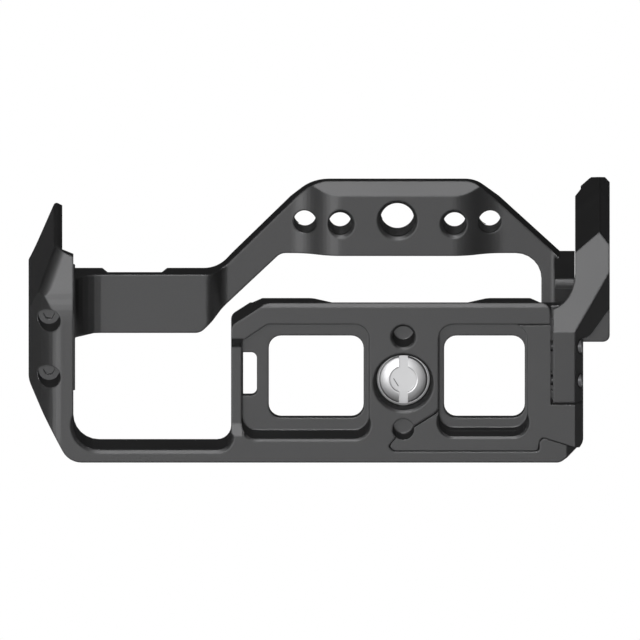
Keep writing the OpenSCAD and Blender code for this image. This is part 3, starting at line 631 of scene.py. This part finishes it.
def add_lamp(name, towards, level, degrees, only=None):
    """A square lamp in this direction, so many degrees wide.

    With only, it shows in highlights of those parts alone.
    """
    lamp = link(bpy.data.objects.new(name, bpy.data.lights.new(name, "AREA")))
    lamp.data.energy = level * (math.pi * LAMP_DISTANCE) ** 2
    lamp.data.size = 2 * LAMP_DISTANCE * math.tan(math.radians(degrees) / 2)
    way = Vector(towards).normalized()
    lamp.location = CAMERA_AIM + way * LAMP_DISTANCE
    lamp.rotation_mode = "QUATERNION"
    lamp.rotation_quaternion = (-way).to_track_quat("-Z", "Y")
    lamp.visible_camera = False
    if only:
        lamp.visible_diffuse = False
        lamp.data.use_shadow = False
        lamp.light_linking.receiver_collection = only
    print(name, "gives", round(lamp.data.energy, 2), "W over", round(lamp.data.size, 2), "m")


add_lamp("below_lamp", towards=(-0.08, -0.19, -0.98), level=0.2, degrees=10)
add_lamp("sheen_strip", towards=(-0.34, 0.12, -0.93), level=6.2, degrees=14, only=black_parts)
add_lamp("edge_strip", towards=(-0.2, -0.6, -0.78), level=8.0, degrees=10, only=black_parts)
add_lamp("chamfer_strip", towards=(-0.08, -0.97, -0.22), level=7.2, degrees=12, only=black_parts)
add_lamp("screw_lamp", towards=(-0.6, -0.2, -0.77), level=0.9, degrees=40, only=bright_parts)
add_lamp("back_left_lamp", towards=(-0.45, 0.86, 0.24), level=0.7, degrees=24)
add_lamp("back_right_lamp", towards=(0.5, 0.6, 0.62), level=0.7, degrees=24)

# %% [markdown]
# The background is white for the camera and for reflections, so that the steel mirrors a white
# studio. For all other light it is a dim grey, because a white world would flood the object. The
# Light Path node tells these rays apart. The Standard view shows a colour as it is written.

# %% World and view
AMBIENT = 0.03
RAYS_THAT_SEE_WHITE = ("Is Camera Ray", "Is Glossy Ray", "Is Transmission Ray")


def add_world():
    """A white backdrop that adds little light of its own."""
    world = bpy.data.worlds.new("world")
    bpy.context.scene.world = world
    world.use_nodes = True
    board = Board(world.node_tree)
    ray = board.node("ShaderNodeLightPath").outputs
    white = sum(Level(board, ray[kind]) for kind in RAYS_THAT_SEE_WHITE).clamped()
    background = board.node("ShaderNodeBackground", {
        "Color": (1, 1, 1, 1), "Strength": white * (1 - AMBIENT) + AMBIENT})
    board.node("ShaderNodeOutputWorld", {"Surface": background.outputs[0]})


add_world()
bpy.context.scene.view_settings.view_transform = "Standard"
print("the world gives", AMBIENT, "of its white to rays that light the object")

# %% [markdown]
# The cage stands on a pale floor. The photograph looks up from under that floor, so the floor is
# solid only to a camera above it: from below, and for every other ray, it is clear. A glow lifts
# it towards the white of the background. The object's shadow still falls on it.

# %% Floor
FLOOR_SIZE = 3.0
FLOOR_GAP = 0.1 * MM
FLOOR_COLOUR = (0.82, 0.82, 0.83, 1)
FLOOR_GLOW = 0.55


def floor_finish():
    """Pale paper to a camera above it, and clear otherwise."""
    finish = Finish("floor")
    seen = finish.level("ShaderNodeLightPath", output="Is Camera Ray")
    back = finish.level("ShaderNodeNewGeometry", output="Backfacing")
    paper = finish.node("ShaderNodeBsdfDiffuse", {"Color": FLOOR_COLOUR})
    glow = finish.node("ShaderNodeEmission", {"Color": (1, 1, 1, 1), "Strength": FLOOR_GLOW})
    lit = finish.node("ShaderNodeAddShader", {0: paper.outputs[0], 1: glow.outputs[0]})
    clear = finish.node("ShaderNodeBsdfTransparent")
    return finish.done(finish.node("ShaderNodeMixShader", {
        0: seen * (1 - back), 1: clear.outputs[0], 2: lit.outputs[0]}))


def add_floor():
    """One square just under the cage."""
    mesh = bpy.data.meshes.new("floor")
    half = FLOOR_SIZE / 2
    corners = [(x, y, -FLOOR_GAP) for x, y in ((-half, -half), (half, -half), (half, half),
                                               (-half, half))]
    mesh.from_pydata(corners, [], [(0, 1, 2, 3)])
    mesh.materials.append(floor_finish())
    floor = link(bpy.data.objects.new("floor", mesh))


add_floor()
print("floor:", FLOOR_SIZE, "m wide and", FLOOR_GAP / MM, "mm under the cage")
